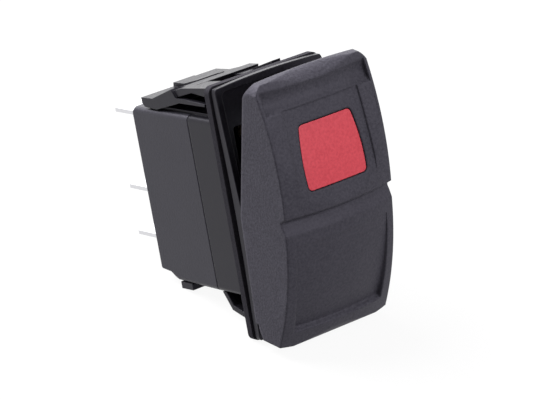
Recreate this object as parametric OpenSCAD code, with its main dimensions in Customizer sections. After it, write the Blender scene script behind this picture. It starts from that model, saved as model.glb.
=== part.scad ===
// Panel rocker switch: snap-in frame and gasket, rear housing, hollow rocker with a lamp window,
// and the two-pole plunger and contact-bar mechanism inside.
// Millimetres. Origin: centre of the panel seat. +X right, +Y into the panel, +Z up.
// Drawn at rest: lower half pressed in, contacts open.

/* [Flange and gasket] */
// Half width of the flange
flange_hw = 12.58; // [11.5:0.01:14]
// Half length of the flange
flange_hl = 25.05; // [24:0.01:26.5]
// Flange thickness at its two ends
flange_end_t = 1.5; // [1.2:0.05:2.5]
// Flange thickness at mid length
flange_mid_t = 3.3; // [2.8:0.05:3.5]
// Corner radius of the flange outline
flange_r = 1.4; // [1:0.1:3]
// Radius of the bowed flange ends
flange_bow_r = 160; // [80:5:400]
// Width of the flange rim in front of the pocket
rim_w = 1.3; // [1.2:0.05:1.6]
// Depth of the step all round the back of the rim
rim_step = 0.35; // [0.2:0.05:0.5]
// Width of that step
relief_w = 0.9; // [0.5:0.05:0.9]
// Depth of the relief between gasket and flange sides
relief_t = 1.1; // [0.6:0.05:1.2]
// Gasket thickness
gasket_t = 1.5; // [1:0.1:2]
// How far the gasket sides stand out past the flange sides
gasket_side = 0.35; // [0:0.05:0.5]
// How far the gasket ends stand out past the flange ends
gasket_end = -0.1; // [-0.3:0.05:0.5]

/* [Skirt and housing] */
// Half width of the body behind the panel
body_hw = 10.5; // [10.4:0.01:10.6]
// Half height of the body behind the panel
body_hh = 17.5; // [17.4:0.01:17.6]
// Radius of the long body edges
body_r = 1; // [0.5:0.1:1.5]
// Depth of the frame skirt behind the panel seat
skirt_d = 10.9; // [10:0.1:12]
// Depth of the body behind the panel seat
body_d = 29.4; // [29:0.1:31]
// Skirt wall thickness
skirt_t = 1.2; // [1.1:0.05:1.25]
// Depth of the seam line between skirt and housing
seam_t = 0.15; // [0.05:0.05:0.25]
// Start of the solid floor behind the panel seat
floor_y = 21.5; // [21:0.1:22]
// Height at which the rear face stops above the lower step
step_z = 15.5; // [15:0.1:15.8]

/* [Snap wings] */
// Thickness of the tongues that carry the wings
tongue_t = 1; // [0.8:0.05:1.1]
// Half width of the tongues
tongue_hw = 9; // [8:0.1:9.2]
// Distance of the wing teeth behind the panel seat
tooth_y = 2.3; // [2.2:0.1:3]
// Height of the upper tooth tip
tooth_z = 24.8; // [24.5:0.1:25.5]
// Height of the lower tooth tip
low_tooth_z = 22.7; // [22:0.1:23.5]

/* [Rocker] */
// Distance of the pivot in front of the panel seat
pivot_y = 7.5; // [7.4:0.05:7.6]
// Tilt of the rocker from its middle position
tilt = 10.5; // [9:0.5:10.5]
// Radius of the crowned face
face_r = 60; // [58:1:64]
// Distance of the face crown in front of the panel seat
face_y = 19.2; // [18.9:0.1:20]
// Half width of the cap at the crown
cap_face_hw = 12.55; // [12.4:0.05:12.9]
// How far the crown centre of the lower half lies below the pivot
crown_drop = 3.5; // [3:0.1:4]
// Depth of the groove between the two halves
groove_d = 1.3; // [0.9:0.05:1.4]
// Half width of the cap at its rear edge
cap_rear_hw = 13.4; // [13.3:0.05:13.8]
// Half length of the cap
cap_hl = 26.6; // [26.2:0.1:27]
// Height of the cap centre above the pivot
cap_z = 1.5; // [1.2:0.05:1.7]
// Radius of the bowed lower end seen from the front
cap_bow_r = 80; // [60:5:200]
// Radius of the bowed top end seen from the front
cap_top_bow_r = 120; // [80:5:200]
// Radius of the cap ends in side view
cap_end_r = 4; // [3:0.25:5]
// Radius of the two lower corners
cap_corner_r = 2.6; // [2:0.1:3]
// Radius of the two top corners
cap_top_r = 4.5; // [3.5:0.1:5]
// Wall thickness of the cap sides
cap_t = 1.5; // [1.3:0.05:1.6]
// Wall thickness of the cap face before the scoops
face_t = 2.4; // [2.2:0.05:2.5]
// Gap left between the pressed half and the flange
press_gap = 0.3; // [0.25:0.05:0.5]

/* [Lens] */
// Half width of the lens at its top edge
lens_top_hw = 6.1; // [5.5:0.05:6.5]
// Half width of the lens at its bottom edge
lens_low_hw = 6.8; // [6:0.05:7]
// Height of the lens
lens_h = 12.2; // [11:0.1:13]
// Height of the lens centre above the pivot
lens_z = 13.4; // [13:0.1:13.8]
// How far the lens sides bow out
lens_bow = 0.35; // [0:0.05:0.5]
// Gap around the lens
lens_gap = 0.2; // [0.05:0.01:0.2]

/* [Mechanism] */
// Radius of the pivot pins
pin_r = 1.5; // [1.3:0.05:1.6]
// Running clearance of pins, plungers and bars
run_c = 0.05; // [0.04:0.01:0.06]
// Distance of the two poles from the middle
pole_x = 6.05; // [6:0.05:6.1]
// Distance of the plunger tip centre from the pivot
tip_d = 20; // [19.9:0.05:20.05]
// Radius of the plunger tip
tip_r = 1.25; // [1.2:0.05:1.3]
// Height of the load terminal row below the middle row
load_z = 9.6; // [9.5:0.05:9.7]
// Height of the lamp terminal row above the middle row
lamp_z = 15.7; // [15.6:0.05:15.8]
// Width of the blades
blade_w = 6.3; // [6.2:0.05:6.3]
// Thickness of the blades
blade_t = 0.8; // [0.75:0.01:0.8]
// Distance of the blade tips behind the panel seat
blade_y = 38.5; // [37:0.1:39]

/* [Hidden] */
$fn = 48;
e = 0.01;
roof_a = atan((flange_mid_t - flange_end_t) / flange_hl);
flange_back = -gasket_t;
flange_front = flange_back - flange_mid_t;
skirt_ihw = body_hw - skirt_t;
skirt_ihh = body_hh - skirt_t;
sphere_y = face_r - face_y;
v_a = tilt - roof_a;
v_d = (pivot_y + flange_front) * cos(roof_a) - press_gap;
v_y = -pivot_y + v_d / cos(v_a);
top_cz = cap_z + cap_hl - cap_end_r;
low_cz = cap_z - cap_hl + cap_end_r;
rear_cut_y = 2;
rear_cut_z = 3.4;
split_z = 2.3;
gasket_hw = flange_hw + gasket_side;
gasket_hl = flange_hl + gasket_end;
pocket_y = -2;
bar_f = 15.5;
bar_a = -7;
cradle_d = 9.9;
cradle_r = 8.24;
bar_t = 1;
bar_w = 4.1;
arm_z = 5.3;
arm_y = -cradle_d + sqrt(pow(cradle_r + bar_t / 2, 2) - pow(arm_z, 2));
load_c_z = 10.9;
button_t = 0.9;
spigot_hw = skirt_ihw - 0.05;
spigot_hh = skirt_ihh - 0.05;
cav_hw = 8.4;
cav_hh = 16.2;
tongue_z0 = 17;
tongue_z = tongue_z0 + tongue_t;
slot_c = 0.05;
pad_r = 150;
pad_y = 127.4;
pad_z = -28.5;
pad_top = 22.4;
pad_step = 0.35;
foot_z = -21.1;

// ---- shared helpers ----

// Rectangle of half sizes w and h with true corner arcs of radius r
module rrect(w, h, r) {
  square([2 * w, 2 * (h - r)], center = true);
  square([2 * (w - r), 2 * h], center = true);
  for (sx = [-1, 1], sz = [-1, 1]) {
    translate([sx * (w - r), sz * (h - r)]) circle(r = r);
  }
}

// Stands a flat X-Z outline up and gives it depth from y0 to y1
module deep(y0, y1) {
  translate([0, y1, 0]) rotate([90, 0, 0]) linear_extrude(height = y1 - y0) children();
}

// Turns a flat Y-Z outline into a slab from x0 to x1
module wide(x0, x1) {
  translate([x0, 0, 0]) rotate([90, 0, 90]) linear_extrude(height = x1 - x0) children();
}

// Box given by its two corners
module box(a, b) {
  translate(a) cube(b - a);
}

// Round bar along X centred on (y, z)
module xrod(x0, x1, y, z, r) {
  translate([x0, y, z]) rotate([0, 90, 0]) cylinder(h = x1 - x0, r = r);
}

// Round bar along Y centred on (x, z)
module yrod(y0, y1, x, z, r) {
  translate([x, y1, z]) rotate([90, 0, 0]) cylinder(h = y1 - y0, r = r);
}

// Places rocker parts, drawn in the middle position, at the rest tilt
module at_rest() {
  translate([0, -pivot_y, 0]) rotate([tilt, 0, 0]) translate([0, pivot_y, 0]) children();
}

// Places bar parts, drawn about their fulcrum, at the rest angle
module bar_rest(s) {
  translate([s * pole_x, bar_f, 0]) rotate([bar_a, 0, 0]) children();
}

// Places lens parts, drawn square to -Y with the face at zero, on the crowned face
module on_face() {
  translate([0, sphere_y, 0]) rotate([-asin(lens_z / face_r), 0, 0]) translate([0, -face_r, 0]) children();
}

// ---- frame ----

// Flange with a roof-shaped front and bowed ends
module flange_block() {
  intersection() {
    wide(-flange_hw, flange_hw)
      polygon([[flange_back, -flange_hl], [flange_back, flange_hl],
               [flange_back - flange_end_t, flange_hl], [flange_front, 0],
               [flange_back - flange_end_t, -flange_hl]]);
    deep(flange_front - 1, 0) rrect(flange_hw, flange_hl, flange_r);
    translate([0, 0, flange_bow_r - flange_hl]) yrod(-9, 0, 0, 0, flange_bow_r);
    translate([0, 0, flange_hl - flange_bow_r]) yrod(-9, 0, 0, 0, flange_bow_r);
  }
}

// Shadow step round the back of the rim, deeper along the two sides
module rim_relief() {
  r = (pow(flange_hl, 2) + pow(relief_t, 2)) / (2 * relief_t);
  difference() {
    deep(flange_back - rim_step, flange_back + 1) square([40, 80], center = true);
    deep(flange_back - 1, flange_back + 2) rrect(flange_hw - relief_w, flange_hl - relief_w, 0.8);
  }
  for (s = [-1, 1]) {
    intersection() {
      box([s > 0 ? flange_hw - relief_w : -flange_hw - 1, flange_back - relief_t - 0.5, -flange_hl],
          [s > 0 ? flange_hw + 1 : -flange_hw + relief_w, flange_back + 0.5, flange_hl]);
      xrod(-20, 20, flange_back - relief_t + r, 0, r);
    }
  }
}

// Ear that carries one pivot pin
module ear(s) {
  x0 = s > 0 ? skirt_ihw : -body_hw;
  difference() {
    union() {
      xrod(x0, x0 + skirt_t, -pivot_y, 0, 2.6);
      box([x0, -pivot_y, -2.6], [x0 + skirt_t, flange_back, 2.6]);
    }
    xrod(x0 - 1, x0 + skirt_t + 1, -pivot_y, 0, pin_r + run_c);
  }
}

// Upper snap wing: rear bars, sloping arm, two tongues, side wedge and thin rib
module upper_wing() {
  wide(-10.3, 2.4)
    polygon([[21.1, 17.7], [25, 17.9], [25.7, 18.6], [25.7, 19.7], [22, 19.8], [15, 22.3], [13.2, 19.7]]);
  wide(-2.6, 2.4) polygon([[25.7, 19.5], [25.5, 20.5], [22, 20.6], [17, 21.8], [17, 21]]);
  wide(3.2, 8.6)
    polygon([[21.2, 17.8], [25, 17.9], [26.8, 18.9], [26.8, 20], [22.3, 20.3], [16, 21.7], [15, 20.4]]);
  wide(-7.7, 8.4) polygon([[21, 20.2], [14.8, 22.2], [11.8, 22.4], [12.2, 21.4], [15, 20.4]]);
  wide(-7.7, -3.9) polygon([[15, 22], [7.2, 22.9], [tooth_y, 23.4], [tooth_y, 22.2], [7.2, 21.7], [14, 21]]);
  wide(2.5, 8.4)
    polygon([[21.6, 20.3], [tooth_y, tooth_z - 1.3], [tooth_y, tooth_z - 2.6], [15, 20.6]]);
  wide(5, 6.9) polygon([[10, 22.4], [tooth_y, tooth_z], [tooth_y, tooth_z - 1.8]]);
  wide(-9.9, -7.6)
    polygon([[15.6, 21.8], [11.9, 22.7], [3.5, 23.5], [4.1, 21.7], [8.8, 22.1], [14.4, 20.6]]);
  wide(-10.3, -9.3) polygon([[14.4, 20.6], [10.9, 20.7], [4.5, 20.4], [4.5, 19.9], [13.4, 19.8]]);
}

// Lower snap wing: rear corner blocks, central arm and the outward sloping tooth plate
module lower_wing() {
  for (s = [-1, 1]) {
    wide(s > 0 ? 7.4 : -10.2, s > 0 ? 10.2 : -7.4)
      polygon([[20.2, -17.6], [24, -17.6], [24, -19], [20.2, -18.9]]);
  }
  wide(-4.5, 4.5)
    polygon([[23.9, -17.7], [23.9, -18.9], [9.6, -18.9], [9.6, -17.7]]);
  wide(-9.9, 9.9)
    polygon([[10.5, -17.7], [8.2, -21.1], [4.8, -22], [tooth_y, -low_tooth_z],
             [tooth_y, -low_tooth_z + 1.2], [4.6, -21], [7.6, -20.2], [9.3, -17.6]]);
}

module bezel_frame() {
  color("#3a3a3c")
  difference() {
    union() {
      difference() {
        flange_block();
        deep(-9, pocket_y) rrect(flange_hw - rim_w, flange_hl - rim_w, 1);
        rim_relief();
      }
      deep(pocket_y, skirt_d) rrect(body_hw, body_hh, body_r);
      box([-tongue_hw, 3, tongue_z0 - 0.5], [tongue_hw, skirt_d, tongue_z]);
      box([-tongue_hw, skirt_d - e, tongue_z0], [tongue_hw, 25.6, tongue_z]);
      box([-tongue_hw, 3, -tongue_z], [tongue_hw, skirt_d, -tongue_z0 + 0.5]);
      box([-tongue_hw, skirt_d - e, -tongue_z], [tongue_hw, 24, -tongue_z0]);
      ear(-1);
      ear(1);
      upper_wing();
      lower_wing();
    }
    deep(-4.9, skirt_d + 1) rrect(skirt_ihw, skirt_ihh, 0.5);
  }
}

module panel_gasket() {
  color("#454547")
  difference() {
    deep(-gasket_t, 0) rrect(gasket_hw, gasket_hl, flange_r);
    deep(-gasket_t - 1, 1) rrect(body_hw + 0.12, body_hh + 0.12, body_r);
  }
}

// ---- housing ----

// Row of two slots for blades of width w
module blade_slots(z, w, y0, y1) {
  for (s = [-1, 1]) {
    box([s * pole_x - w / 2 - slot_c, y0, z - blade_t / 2 - slot_c],
        [s * pole_x + w / 2 + slot_c, y1, z + blade_t / 2 + slot_c]);
  }
}

module base_housing() {
  color("#333335")
  difference() {
    union() {
      intersection() {
        deep(skirt_d, body_d) rrect(body_hw, body_hh, body_r);
        wide(-20, 20) {
          polygon([[skirt_d, -20], [24.5, -20], [24.5, -body_hh + 0.5], [25.2, -16.5],
                   [26.3, -step_z - 0.3], [body_d - 0.2, -step_z], [body_d, -step_z + 0.3],
                   [body_d, body_hh - 1.5], [body_d - 1.5, 20], [skirt_d, 20]]);
          translate([body_d - 1.5, body_hh - 1.5]) circle(r = 1.5);
        }
      }
      deep(skirt_d - 2, skirt_d + 2) rrect(spigot_hw, spigot_hh, 0.5);
    }
    deep(skirt_d - 3, floor_y) rrect(cav_hw, cav_hh - 0.9, 0.4);
    deep(skirt_d + 1, floor_y) rrect(cav_hw, cav_hh, 0.4);
    difference() {
      deep(skirt_d - e, skirt_d + 0.25) square([2 * body_hw + 2, 2 * body_hh + 2], center = true);
      deep(skirt_d - 1, skirt_d + 1) rrect(body_hw - seam_t, body_hh - seam_t, body_r);
    }
    box([-tongue_hw - 0.1, skirt_d - 0.1, tongue_z0 - 0.05], [tongue_hw + 0.1, 25.7, 20]);
    box([-tongue_hw - 0.1, skirt_d - 0.1, -20], [tongue_hw + 0.1, 24.1, -tongue_z0 + 0.05]);
    blade_slots(0, 4.6, floor_y - 1, body_d + 1);
    blade_slots(-load_z, 4.6, floor_y - 1, body_d + 1);
    blade_slots(lamp_z, 4.6, floor_y - 1, body_d + 1);
    blade_slots(0, blade_w, 23, body_d + 1);
    blade_slots(-load_z, blade_w, 23, body_d + 1);
    blade_slots(lamp_z, blade_w, 23, body_d + 1);
    blade_slots(load_z, blade_w, body_d - 4, body_d + 1);
  }
}

// ---- rocker ----

// Rear edge of the cap at height z
function v_edge(z) = v_y - abs(z) * tan(v_a);

// Centre distance of an end rounding d away from its crown centre, so that the two meet smoothly
function end_y(d) = sphere_y - sqrt(pow(face_r - cap_end_r, 2) - pow(d, 2));

// Distance from the crown centre at which they meet
function meet(d) = d * face_r / (face_r - cap_end_r);

// Crown and end roundings in side view, t inside the outer face
module cap_crown(t) {
  top_y = end_y(top_cz);
  low_y = end_y(-crown_drop - low_cz);
  top_z = meet(top_cz);
  low_z = -crown_drop - meet(-crown_drop - low_cz);
  translate([-30, low_cz]) square([40, top_cz - low_cz]);
  translate([-30, low_z]) square([30 + low_y - cap_end_r / 2, -low_z]);
  translate([-30, 0]) square([30 + top_y - cap_end_r / 2, top_z]);
  translate([top_y, top_cz]) circle(r = cap_end_r - t);
  translate([low_y, low_cz]) circle(r = cap_end_r - t);
  translate([top_y, top_cz - 2]) square([t > 0 ? 12 : 3, cap_end_r - t + 2]);
  translate([low_y, low_cz - cap_end_r + t]) square([t > 0 ? 12 : 3, cap_end_r - t + 2]);
}

// Side outline of the cap, t inside the outer face; the cavity is open to the rear
module cap_side(t) {
  za = cap_z + cap_hl - rear_cut_z;
  zb = cap_z - cap_hl + rear_cut_z;
  intersection() {
    cap_crown(t);
    if (t > 0) {
      translate([-30, -40]) square([39, 80]);
    } else {
      polygon([[-30, -40], [v_edge(zb) - 3 * rear_cut_y, zb - 3 * rear_cut_z], [v_edge(zb), zb], [v_y, 0],
               [v_edge(za), za], [v_edge(za) - 3 * rear_cut_y, za + 3 * rear_cut_z], [-30, 40]]);
    }
  }
}

// Crowned face between heights z0 and z1, about a centre at height cz
module crown(z0, z1, cz, t) {
  intersection() {
    box([-20, -30, z0], [20, 12, z1]);
    translate([0, sphere_y, cz]) sphere(r = face_r - t * face_t / cap_t, $fn = 96);
  }
}

// Outer or inner block of the cap: side outline, drafted sides, crowned faces, bowed ends
module cap_block(t) {
  intersection() {
    wide(-20, 20) cap_side(t);
    translate([0, 0, -40]) linear_extrude(height = 80)
      polygon([[-cap_face_hw + t, -face_y], [cap_face_hw - t, -face_y], [cap_rear_hw - t, v_y + 2],
               [cap_rear_hw - t, 6], [-cap_rear_hw + t, 6], [-cap_rear_hw + t, v_y + 2]]);
    union() {
      crown(-40, split_z, -crown_drop, t);
      crown(split_z, 40, 0, t);
    }
    translate([0, 0, cap_z + cap_hl - 39.7])
      deep(-30, 9) rrect(cap_rear_hw - t, 40 - t, max(cap_top_r - t, 0.8));
    translate([0, 0, cap_z - cap_hl + 39.7])
      deep(-30, 9) rrect(cap_rear_hw - t, 40 - t, max(cap_corner_r - t, 0.8));
    yrod(-30, 9, 0, cap_z + cap_bow_r - cap_hl, cap_bow_r - t);
    yrod(-30, 9, 0, cap_z - cap_top_bow_r + cap_hl, cap_top_bow_r - t);
  }
}

// Turns a profile of distance from the crown axis against height about that axis
module about_crown() {
  translate([0, sphere_y, 0]) rotate_extrude($fn = 240) children();
}

// Side limits of a scoop: half widths w0 at the face and w1 below it
module scoop_sides(z0, z1, w0, w1) {
  translate([0, 0, z0]) linear_extrude(height = z1 - z0)
    polygon([[-w0, -22], [w0, -22], [w1, -11], [-w1, -11]]);
}

// Soft dish of the upper half, and the pad sunk into it
module upper_scoop() {
  intersection() {
    scoop_sides(split_z + 0.8, pad_top + 0.5, 12.2, 12.2);
    difference() {
      box([-20, -30, -5], [20, -11, 40]);
      translate([0, pad_y, pad_z]) sphere(r = pad_r + pad_step, $fn = 160);
    }
  }
  intersection() {
    scoop_sides(split_z + 0.8, pad_top, 9.4, 8.6);
    difference() {
      box([-20, -30, -5], [20, -11, 40]);
      translate([0, pad_y, pad_z]) sphere(r = pad_r, $fn = 160);
    }
  }
}

// Finger trough between the pad and the upper lip
module end_trough() {
  intersection() {
    about_crown() translate([56.6, 25]) circle(r = 3);
    scoop_sides(15, 40, 12.2, 12.2);
  }
}

// Groove that parts the two halves, steep above and gently sloped below, carried round the crown
module cross_groove() {
  about_crown()
    polygon([[face_r + 3, split_z + 4], [face_r - 0.1, split_z + 0.9], [face_r - groove_d, split_z],
             [face_r - groove_d, split_z - 0.4], [face_r - 0.8, split_z - 1.1],
             [face_r + 0.1, split_z - 2.8], [face_r + 3, split_z - 3.8]]);
}

// Sunk panel of the lower half, deepest at its sloped foot
module lower_scoop() {
  r = sqrt(pow(face_r, 2) - pow(foot_z + crown_drop, 2));
  intersection() {
    scoop_sides(-40, -2.6, 11.4, 9.7);
    difference() {
      about_crown()
        polygon([[46, -2.6], [70, -2.6], [70, foot_z - 6], [r + 2.4, foot_z - 1.75], [r - 1.1, foot_z + 0.8]]);
      translate([0, sphere_y + 0.05, 3.2 - crown_drop]) sphere(r = face_r, $fn = 96);
    }
  }
}

// Lens outline in the face plane, grown by g
module lens_shape(g) {
  hull() {
    for (k = [-4:4], s = [-1, 1]) {
      w = (lens_top_hw + lens_low_hw) / 2 + (lens_top_hw - lens_low_hw) * k / 8 + lens_bow * (1 - k * k / 16);
      translate([s * (w - 0.9), (lens_h / 2 - 0.9) * k / 4]) circle(r = 0.9 + g, $fn = 24);
    }
  }
}

module rocker_cap() {
  color("#464648")
  at_rest()
  difference() {
    union() {
      difference() {
        cap_block(0);
        cap_block(cap_t);
      }
      for (z = [-4, 4]) {
        yrod(sphere_y - face_r + 1, -12, 0, z, 1.2);
      }
    }
    upper_scoop();
    end_trough();
    cross_groove();
    lower_scoop();
    on_face() deep(-5, 8) lens_shape(lens_gap);
  }
}

module lens() {
  color("#d0303c")
  at_rest()
  difference() {
    union() {
      intersection() {
        on_face() deep(-4, 6) lens_shape(0);
        translate([0, pad_y, pad_z]) sphere(r = pad_r - 0.15, $fn = 160);
      }
      intersection() {
        on_face() deep(1, 6) lens_shape(1.2);
        translate([0, sphere_y, 0]) sphere(r = face_r - face_t - 0.03, $fn = 96);
      }
    }
    translate([0, sphere_y, 0]) sphere(r = face_r - face_t - 1.2, $fn = 96);
  }
}

module light_guide() {
  color("#e8eef0")
  at_rest()
  intersection() {
    on_face() deep(cap_t, 14) rrect(3.6, 2.6, 0.6);
    translate([0, sphere_y, 0]) sphere(r = face_r - face_t - 1.22, $fn = 96);
  }
}

// Carrier under the cap with pins and plunger tubes
module inner_rocker() {
  color("#8c8c8a")
  at_rest()
  difference() {
    union() {
      intersection() {
        box([-8.9, -18, -8.4], [8.9, -11.5, 5.4]);
        union() {
          crown(-40, split_z, -crown_drop, cap_t * (1 + 0.05 / face_t));
          crown(split_z - e, 40, 0, cap_t * (1 + 0.05 / face_t));
        }
      }
      box([-8.9, -12, -2.6], [8.9, -pivot_y, 2.6]);
      xrod(-8.9, 8.9, -pivot_y, 0, 2.8);
      xrod(-body_hw - 0.15, body_hw + 0.15, -pivot_y, 0, pin_r);
      for (s = [-1, 1]) {
        yrod(-12, 8, s * 6, 0, 2.7);
      }
    }
    for (s = [-1, 1]) {
      yrod(-10.5, 9, s * 6, 0, 1.9);
    }
    for (z = [-4, 4]) {
      yrod(-20, -11.9, 0, z, 1.25);
    }
  }
}

// Sliding plunger with a round tip
module plunger(s) {
  tip_y = tip_d - pivot_y;
  color("#e9e6dc")
  at_rest()
  translate([s * 6, 0, 0]) rotate([-90, 0, 0]) {
    translate([0, 0, -1]) cylinder(h = 9.4, r = 1.9 - run_c);
    translate([0, 0, 8.4 - e]) cylinder(h = 1.4, r1 = 1.9 - run_c, r2 = tip_r);
    translate([0, 0, 9.7]) cylinder(h = tip_y - 9.7, r = tip_r);
    translate([0, 0, tip_y]) sphere(r = tip_r);
  }
}

// Point on the spring section: a is the turn angle, b the angle round the wire
function coil_point(a, b, cr, wr, pitch) =
  [(cr + wr * cos(b)) * cos(a), (cr + wr * cos(b)) * sin(a), pitch * a / 360 + wr * sin(b)];

// Open coil spring along Z from zero
module coil(cr, wr, turns, pitch) {
  m = 6;
  n = turns * 12;
  pts = [for (i = [0 : n], j = [0 : m - 1]) coil_point(i * 30, j * 60, cr, wr, pitch)];
  sides = [for (i = [0 : n - 1], j = [0 : m - 1])
    [i * m + j, i * m + (j + 1) % m, (i + 1) * m + (j + 1) % m, (i + 1) * m + j]];
  ends = [[for (j = [0 : m - 1]) m - 1 - j], [for (j = [0 : m - 1]) n * m + j]];
  polyhedron(points = pts, faces = concat(sides, ends), convexity = 6);
}

module plunger_spring(s) {
  color("#b9bcc0")
  at_rest()
  translate([s * 6, -10.25, 0]) rotate([-90, 0, 0]) coil(1.4, 0.22, 6, 9 / 6);
}

// ---- contacts ----

// Rocking contact bar with its cradle, arm and fulcrum saddle
module contact_bar(s) {
  color("#c98a55")
  bar_rest(s)
  difference() {
    union() {
      intersection() {
        difference() {
          xrod(-bar_w / 2, bar_w / 2, -cradle_d, 0, cradle_r + bar_t);
          xrod(-bar_w, bar_w, -cradle_d, 0, cradle_r);
        }
        box([-bar_w, -cradle_d, -arm_z], [bar_w, 0, arm_z]);
      }
      box([-bar_w / 2, arm_y - bar_t / 2, -load_c_z - 1.7], [bar_w / 2, arm_y + bar_t / 2, -arm_z + 0.4]);
      box([-bar_w / 2, -1.1, -1.3], [bar_w / 2, 0, 1.3]);
    }
    xrod(-bar_w, bar_w, 0, 0, 0.65);
  }
}

module bar_contact(s) {
  color("#d8dadc")
  bar_rest(s)
  yrod(arm_y + bar_t / 2, arm_y + bar_t / 2 + button_t, 0, -load_c_z, 1.5);
}

// Blade with its narrow inner part and a chamfered tip
module blade(s, z, y0) {
  difference() {
    union() {
      box([s * pole_x - 2.3, y0, z - blade_t / 2], [s * pole_x + 2.3, 24, z + blade_t / 2]);
      box([s * pole_x - blade_w / 2, 23, z - blade_t / 2], [s * pole_x + blade_w / 2, blade_y, z + blade_t / 2]);
    }
    for (t = [-1, 1]) {
      translate([s * pole_x + t * blade_w / 2, blade_y, z]) rotate([0, 0, 45])
        cube([1.4, 1.4, 4], center = true);
    }
  }
}

module centre_terminal(s) {
  color("#c9ccd0") {
    blade(s, 0, bar_f);
    xrod(s * pole_x - 2.3, s * pole_x + 2.3, bar_f, 0, 0.6);
  }
}

module load_terminal(s) {
  color("#c9ccd0")
  difference() {
    union() {
      blade(s, -load_z, 16.1);
      box([s * pole_x - 2.3, 16.1, -load_z - 3.2], [s * pole_x + 2.3, 16.9, -load_z + blade_t / 2]);
    }
    yrod(16, 17, s * pole_x, -load_c_z, 0.8);
  }
}

module fixed_contact(s) {
  color("#d8dadc") {
    intersection() {
      yrod(14, 16.1, s * pole_x, -load_c_z, 1.5);
      translate([s * pole_x, 19.31, -load_c_z]) sphere(r = 4);
    }
    yrod(16, 17.1, s * pole_x, -load_c_z, 0.8);
  }
}

module lamp_terminal(s) {
  color("#c9ccd0") {
    blade(s, lamp_z, 15.2);
    box([s > 0 ? 0.5 : -pole_x - 2.3, 15.2, 11.4], [s > 0 ? pole_x + 2.3 : -0.5, 16, lamp_z + blade_t / 2]);
  }
}

// ---- lamp ----

module lamp() {
  color("#f2d9b0")
  translate([0, 0, 12]) rotate([-90, 0, 0]) {
    translate([0, 0, 2]) sphere(r = 1.5);
    translate([0, 0, 2]) cylinder(h = 4.6, r = 1.5);
    translate([0, 0, 6.6 - e]) cylinder(h = 1 + e, r = 1.9);
  }
}

module lamp_holder() {
  color("#2f2f31")
  difference() {
    box([-2.4, 7.6, 10.2], [2.4, 15.2, 13.8]);
    for (s = [-1, 1]) {
      yrod(7, 16, s * 0.8, 12, 0.35);
    }
  }
}

module lamp_lead(s) {
  color("#c9ccd0")
  yrod(7.6, 15.2, s * 0.8, 12, 0.3);
}

bezel_frame();
panel_gasket();
base_housing();
rocker_cap();
lens();
light_guide();
inner_rocker();
plunger(-1);  // plunger_left
plunger(1);  // plunger_right
plunger_spring(-1);  // plunger_spring_left
plunger_spring(1);  // plunger_spring_right
contact_bar(-1);  // contact_bar_left
contact_bar(1);  // contact_bar_right
bar_contact(-1);  // bar_contact_left
bar_contact(1);  // bar_contact_right
centre_terminal(-1);  // centre_terminal_left
centre_terminal(1);  // centre_terminal_right
load_terminal(-1);  // load_terminal_left
load_terminal(1);  // load_terminal_right
fixed_contact(-1);  // fixed_contact_left
fixed_contact(1);  // fixed_contact_right
lamp_terminal(-1);  // lamp_terminal_left
lamp_terminal(1);  // lamp_terminal_right
lamp();
lamp_holder();
lamp_lead(-1);  // lamp_lead_left
lamp_lead(1);  // lamp_lead_right
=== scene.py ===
import math

import bmesh
import bpy
from mathutils import Matrix, Vector

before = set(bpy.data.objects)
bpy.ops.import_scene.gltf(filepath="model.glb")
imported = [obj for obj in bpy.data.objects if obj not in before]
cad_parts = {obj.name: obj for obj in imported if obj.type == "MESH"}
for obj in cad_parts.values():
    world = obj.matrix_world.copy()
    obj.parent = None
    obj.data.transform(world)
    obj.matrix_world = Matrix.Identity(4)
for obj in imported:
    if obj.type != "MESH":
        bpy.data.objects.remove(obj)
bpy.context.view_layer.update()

MM = 0.001


# ---- colour and nodes ----

def linear(hex_code):
    """sRGB hex to the linear colour that the shaders take."""
    out = []
    for i in (1, 3, 5):
        c = int(hex_code[i:i + 2], 16) / 255
        out.append(c / 12.92 if c <= 0.04045 else ((c + 0.055) / 1.055) ** 2.4)
    return (*out, 1.0)


def add(tree, kind, values=None, links=None, **settings):
    """Adds one node: settings on the node, values and links on its sockets."""
    n = tree.nodes.new(kind)
    for key, value in settings.items():
        setattr(n, key, value)
    for key, value in (values or {}).items():
        n.inputs[key].default_value = value
    for key, socket in (links or {}).items():
        tree.links.new(socket, n.inputs[key])
    return n


def start(name):
    m = bpy.data.materials.new(name)
    m.use_nodes = True
    m.node_tree.nodes.clear()
    return m, m.node_tree


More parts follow.
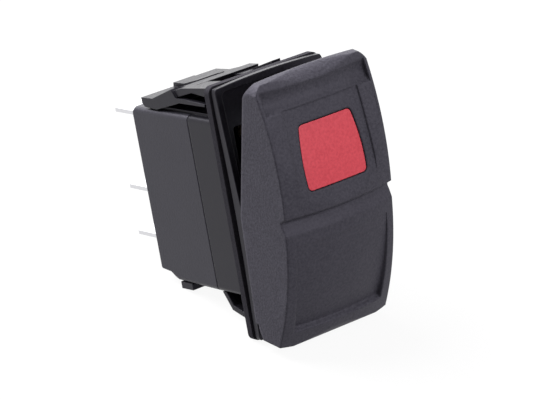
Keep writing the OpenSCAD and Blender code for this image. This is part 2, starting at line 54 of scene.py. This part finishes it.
def moulded(name, dark, light, rough, grain_mm, depth_mm, specular=0.5, patch_mm=6.0, round_mm=0.25):
    """Moulded plastic or rubber: two close tones in soft patches and grain, a fine bump, a small edge radius."""
    m, t = start(name)
    place = add(t, "ShaderNodeTexCoord").outputs["Object"]
    patch = add(t, "ShaderNodeTexNoise", {"Scale": 1 / (patch_mm * MM), "Detail": 3.0}, {"Vector": place})
    grain = add(t, "ShaderNodeTexNoise", {"Scale": 1 / (grain_mm * MM), "Detail": 3.0, "Roughness": 0.6},
                {"Vector": place})
    both = add(t, "ShaderNodeMath", operation="MULTIPLY_ADD", links={0: patch.outputs["Fac"]})
    both.inputs[1].default_value = 0.4
    speck = add(t, "ShaderNodeMapRange", {"From Min": 0.35, "From Max": 0.65, "To Max": 0.6},
                {"Value": grain.outputs["Fac"]})
    t.links.new(speck.outputs["Result"], both.inputs[2])
    tone = add(t, "ShaderNodeMixRGB", {"Color1": linear(dark), "Color2": linear(light)},
               {"Fac": both.outputs["Value"]})
    soft = add(t, "ShaderNodeMapRange", {"From Min": 0.3, "From Max": 0.7, "To Min": rough - 0.06,
                                         "To Max": rough + 0.06}, {"Value": grain.outputs["Fac"]})
    edge = add(t, "ShaderNodeBevel", {"Radius": round_mm * MM}, samples=8)
    bump = add(t, "ShaderNodeBump", {"Strength": 1.0, "Distance": depth_mm * MM},
               {"Height": grain.outputs["Fac"], "Normal": edge.outputs["Normal"]})
    s = add(t, "ShaderNodeBsdfPrincipled", {"Specular IOR Level": specular, "Specular Tint": linear("#efeaff")},
            {"Base Color": tone.outputs["Color"], "Roughness": soft.outputs["Result"],
             "Normal": bump.outputs["Normal"]})
    add(t, "ShaderNodeOutputMaterial", links={"Surface": s.outputs["BSDF"]})
    return m


def paint_shade_on_walls(m, shade):
    """Paints shade on the walls that stand in the gap round a window: where the true normal turns away from -Y,
    the tone goes to a dark colour, as painted shade for the shadow in the gap.
    """
    t = m.node_tree
    shader = next(n for n in t.nodes if n.type == "BSDF_PRINCIPLED")
    tone = shader.inputs["Base Color"].links[0].from_socket
    across = add(t, "ShaderNodeSeparateXYZ", links={0: add(t, "ShaderNodeNewGeometry").outputs["True Normal"]})
    # Painted shade mask: 0 on faces turned to -Y, rising to 1 on the side walls, which take the dark colour.
    front = add(t, "ShaderNodeMapRange", {"From Min": -0.75, "From Max": -0.6}, {"Value": across.outputs["Y"]})
    mixed = add(t, "ShaderNodeMixRGB", {"Color2": linear(shade)}, {"Fac": front.outputs["Result"], "Color1": tone})
    t.links.new(mixed.outputs["Color"], shader.inputs["Base Color"])


def plated(name, colour, rough, scratch_mm=0.15, metal=1.0):
    """Bright metal with fine drawn lines along the strip."""
    m, t = start(name)
    place = add(t, "ShaderNodeTexCoord").outputs["Object"]
    stretch = add(t, "ShaderNodeMapping", {"Scale": (1.0, 0.06, 1.0)}, {"Vector": place})
    lines = add(t, "ShaderNodeTexNoise", {"Scale": 1 / (scratch_mm * MM), "Detail": 3.0},
                {"Vector": stretch.outputs["Vector"]})
    soft = add(t, "ShaderNodeMapRange", {"From Min": 0.3, "From Max": 0.7, "To Min": rough - 0.08,
                                         "To Max": rough + 0.08}, {"Value": lines.outputs["Fac"]})
    bump = add(t, "ShaderNodeBump", {"Strength": 0.4, "Distance": 0.004 * MM}, {"Height": lines.outputs["Fac"]})
    s = add(t, "ShaderNodeBsdfPrincipled", {"Base Color": linear(colour), "Metallic": metal},
            {"Roughness": soft.outputs["Result"], "Normal": bump.outputs["Normal"]})
    add(t, "ShaderNodeOutputMaterial", links={"Surface": s.outputs["BSDF"]})
    return m


# Glass-filled nylon, moulded with a fine spark grain: charcoal black with a cool cast.
nylon_cap = moulded("moulded_nylon_grained", "#2a2830", "#504e57", 0.58, 0.5, 0.1, 0.32, 6.0, 0.7)
# The same nylon from a smoother tool: rear body, a little glossier.
nylon_base = moulded("moulded_nylon_base", "#232228", "#36353c", 0.4, 0.5, 0.03, 0.3, 6.0, 0.4)
# Front frame, smooth tool, darker.
nylon_frame = moulded("moulded_nylon_frame", "#0f0e12", "#1b1a1f", 0.36, 0.5, 0.012, 0.26)
# Soft neoprene sheet, cut: dull.
rubber = moulded("neoprene_sheet", "#1e1d21", "#36343a", 0.8, 0.4, 0.06, 0.18)
# Red polycarbonate, frosted inside: even soft red, smooth outside.
lens_red = moulded("frosted_red_polycarbonate", "#e2404c", "#fc5a66", 0.4, 0.5, 0.02, 0.5, 8.0, 0.15)
# Painted shade: the lens side walls get a dark red that stands in for the shadow in the gap round the lens.
paint_shade_on_walls(lens_red, "#2a060a")
# Natural acetal, milky white.
acetal = moulded("natural_acetal", "#dad6ca", "#e4e0d6", 0.5, 0.6, 0.006)
# Clear acrylic light pipe, seen as pale frosted.
acrylic = moulded("clear_acrylic", "#d4dadc", "#dde3e5", 0.2, 0.8, 0.002)
# Black nylon inside, smooth. Its own tone is black, and it is set darker still than the outer nylon as painted
# shade, so the parts seen in the gap under the rocker read as in shadow.
nylon_inner_painted_shade = moulded("moulded_nylon_inner", "#0b0a0c", "#100f12", 0.6, 0.6, 0.008, 0.2)
# Warm white glass of the lamp.
lamp_glass = moulded("lamp_glass", "#e8cfa6", "#efd9b6", 0.15, 0.8, 0.001)
# Tin plated brass strip: pale grey, bright.
tin = plated("tin_plated_brass", "#d6d6d9", 0.34)
# Spring wire.
spring_steel = plated("spring_steel", "#b4b6ba", 0.3)
# Copper alloy strip.
copper = plated("copper_strip", "#c98d62", 0.35)
# Silver alloy contact.
silver = plated("silver_contact", "#dcdcdc", 0.3)

FINISH = {
    "bezel_frame": nylon_frame, "panel_gasket": rubber, "base_housing": nylon_base,
    "rocker_cap": nylon_cap, "lens": lens_red, "light_guide": acrylic, "inner_rocker": nylon_inner_painted_shade,
    "plunger_left": acetal, "plunger_right": acetal,
    "plunger_spring_left": spring_steel, "plunger_spring_right": spring_steel,
    "contact_bar_left": copper, "contact_bar_right": copper,
    "bar_contact_left": silver, "bar_contact_right": silver,
    "fixed_contact_left": silver, "fixed_contact_right": silver,
    "centre_terminal_left": tin, "centre_terminal_right": tin,
    "load_terminal_left": tin, "load_terminal_right": tin,
    "lamp_terminal_left": tin, "lamp_terminal_right": tin,
    "lamp": lamp_glass, "lamp_holder": nylon_inner_painted_shade,
    "lamp_lead_left": tin, "lamp_lead_right": tin,
}
for name, finish in FINISH.items():
    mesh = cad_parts[name].data
    mesh.materials.clear()
    mesh.materials.append(finish)


# ---- floor, light and camera ----

def rays_seen(t):
    """1 for rays that see the backdrop straight, mirrored or through."""
    path = add(t, "ShaderNodeLightPath")
    a = add(t, "ShaderNodeMath", operation="MAXIMUM",
            links={0: path.outputs["Is Camera Ray"], 1: path.outputs["Is Glossy Ray"]})
    return add(t, "ShaderNodeMath", operation="MAXIMUM",
               links={0: a.outputs["Value"], 1: path.outputs["Is Transmission Ray"]}).outputs["Value"]


def set_floor():
    """Pale floor under the lower edge of the gasket and the rear blocks of the lower snap wing."""
    bm = bmesh.new()
    bmesh.ops.create_grid(bm, x_segments=1, y_segments=1, size=1.6)
    low = Vector((0, 0, -24.95 * MM))
    high = Vector((0, 24.0 * MM, -19.0 * MM))
    turn = math.atan2(high.z - low.z, high.y - low.y)
    place = Matrix.Translation(low) @ Matrix.Rotation(turn, 4, "X")
    bmesh.ops.transform(bm, matrix=place, verts=bm.verts)
    me = bpy.data.meshes.new("floor")
    bm.to_mesh(me)
    bm.free()
    m, t = start("pale_floor")
    lit = add(t, "ShaderNodeBsdfDiffuse", {"Color": linear("#f4f3f4")})
    glow = add(t, "ShaderNodeEmission", {"Color": (1, 1, 1, 1)}, {"Strength": rays_seen(t)})
    mix = add(t, "ShaderNodeMixShader", {"Fac": 0.93}, {1: lit.outputs["BSDF"], 2: glow.outputs["Emission"]})
    add(t, "ShaderNodeOutputMaterial", links={"Surface": mix.outputs["Shader"]})
    me.materials.append(m)
    floor = bpy.data.objects.new("floor", me)
    bpy.context.scene.collection.objects.link(floor)


def set_world():
    w = bpy.data.worlds.new("studio")
    bpy.context.scene.world = w
    w.use_nodes = True
    t = w.node_tree
    t.nodes.clear()
    seen = rays_seen(t)
    level = add(t, "ShaderNodeMapRange", {"To Min": 0.24, "To Max": 1.0}, {"Value": seen})
    back = add(t, "ShaderNodeBackground", {"Color": (1, 1, 1, 1)}, {"Strength": level.outputs["Result"]})
    add(t, "ShaderNodeOutputWorld", links={"Surface": back.outputs["Background"]})


def soft_lamp(name, place, aim, size, watts):
    data = bpy.data.lights.new(name, "AREA")
    data.shape = "DISK"
    data.size = size
    data.energy = watts
    ob = bpy.data.objects.new(name, data)
    ob.location = place
    ob.rotation_euler = (Vector(aim) - Vector(place)).to_track_quat("-Z", "Y").to_euler()
    bpy.context.scene.collection.objects.link(ob)


def set_camera():
    data = bpy.data.cameras.new("camera")
    data.sensor_width = 36
    data.lens = 192.86
    data.clip_start = 0.01
    ob = bpy.data.objects.new("camera", data)
    right = Vector((0.7834876631545062, -0.5981782639130979, -0.16831472385564902))
    down = Vector((-0.2968043813780334, -0.122263236533724, -0.9470791203416437))
    ahead = Vector((0.5459434410994366, 0.7919813543096902, -0.273333667056027))
    turn = Matrix((right, -down, -ahead)).transposed().to_4x4()
    ob.matrix_world = Matrix.Translation((-0.30927, -0.44812, 0.15379)) @ turn
    bpy.context.scene.collection.objects.link(ob)
    bpy.context.scene.camera = ob


set_floor()
set_world()
soft_lamp("overhead", (-0.2, 0.25, 0.6), (0, 0, 0), 0.6, 10.0)
soft_lamp("front", (0.2, -0.75, 0.3), (0, 0, 0), 0.4, 3.0)
soft_lamp("behind", (0.4, 0.6, 0.36), (0, 0, 0), 0.7, 1.6)
set_camera()

bpy.context.scene.view_settings.view_transform = "Standard"
